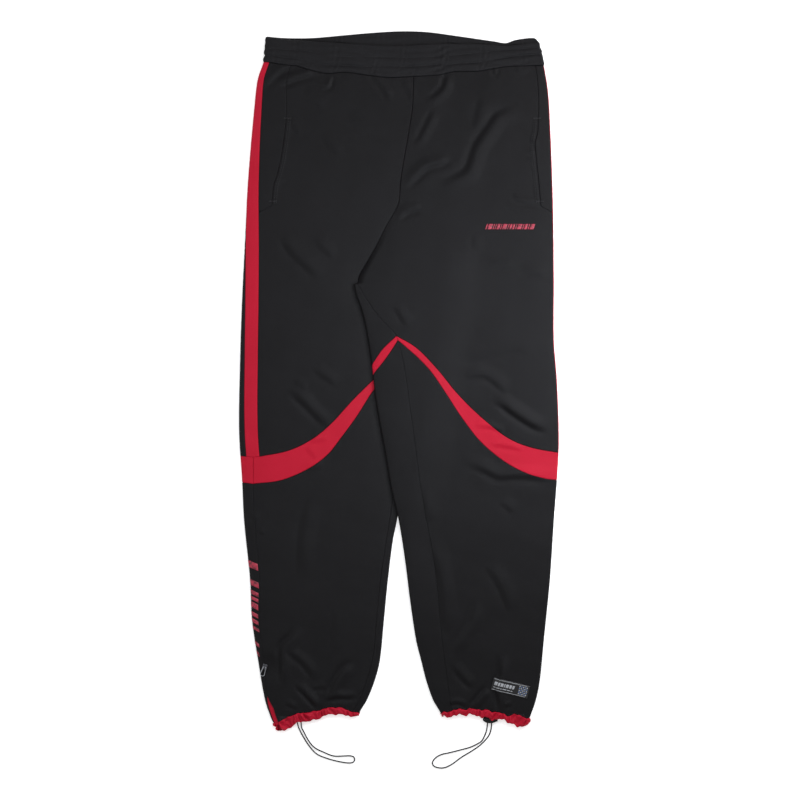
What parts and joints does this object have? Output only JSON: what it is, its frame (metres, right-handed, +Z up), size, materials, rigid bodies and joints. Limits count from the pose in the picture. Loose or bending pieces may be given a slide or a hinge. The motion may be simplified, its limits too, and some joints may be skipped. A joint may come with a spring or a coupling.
{
  "type": "jogger trousers",
  "caption": "Black knit sports jogger trousers with red stripes, knee bands and corded hems, laid flat with the front up.",
  "frame": {"origin": "centre of the trousers' footprint, on the surface they lie on, the hem cords left out", "axes": "+Y up to the waist, +X to the wearer's left, +Z up out of the front"},
  "size_m": [0.4697, 1.084, 0.0098],
  "materials": {
    "black_knit": "smooth polyester knit with a faint sheen",
    "waistband_rib": "gathered elastic waistband, same knit",
    "red_knit": "smooth polyester knit",
    "label_weave": "woven satin label",
    "black_cord": "round braided cord",
    "black_plastic": "moulded, satin",
    "dark_metal": "black coated",
    "grey_metal": "grey wire"
  },
  "bodies": {
    "garment": {"waistband_front": "waistband_rib", "waistband_back": "waistband_rib", "right_front_upper": "black_knit", "right_back_upper": "black_knit", "right_pocket_side": "black_knit", "right_side_stripe": "red_knit", "right_knee_band_front": "red_knit", "right_knee_band_back": "red_knit", "right_front_lower": "black_knit", "right_back_lower": "black_knit", "right_hem_binding": "red_knit", "left_front_upper": "black_knit", "left_back_upper": "black_knit", "left_pocket_side": "black_knit", "left_side_stripe": "red_knit", "left_knee_band_front": "red_knit", "left_knee_band_back": "red_knit", "left_front_lower": "black_knit", "left_back_lower": "black_knit", "left_hem_binding": "red_knit", "ankle_zip_facing": "red_knit", "ankle_zip_slider": "dark_metal", "woven_label": "label_weave", "cord_lock": "black_plastic", "left_hem_cord": "black_cord", "right_hem_cord": "black_cord"},
    "zip_puller": {"ankle_zip_puller": "grey_metal"}
  },
  "joints": [
    {"name": "zip_puller_swing", "type": "hinge", "parent": "garment", "child": "zip_puller", "pos_m": [-0.1971, -0.4188, 0.0073], "axis": [-0.9511, 0.309, 0], "range_deg": [0, 170]}
  ]
}
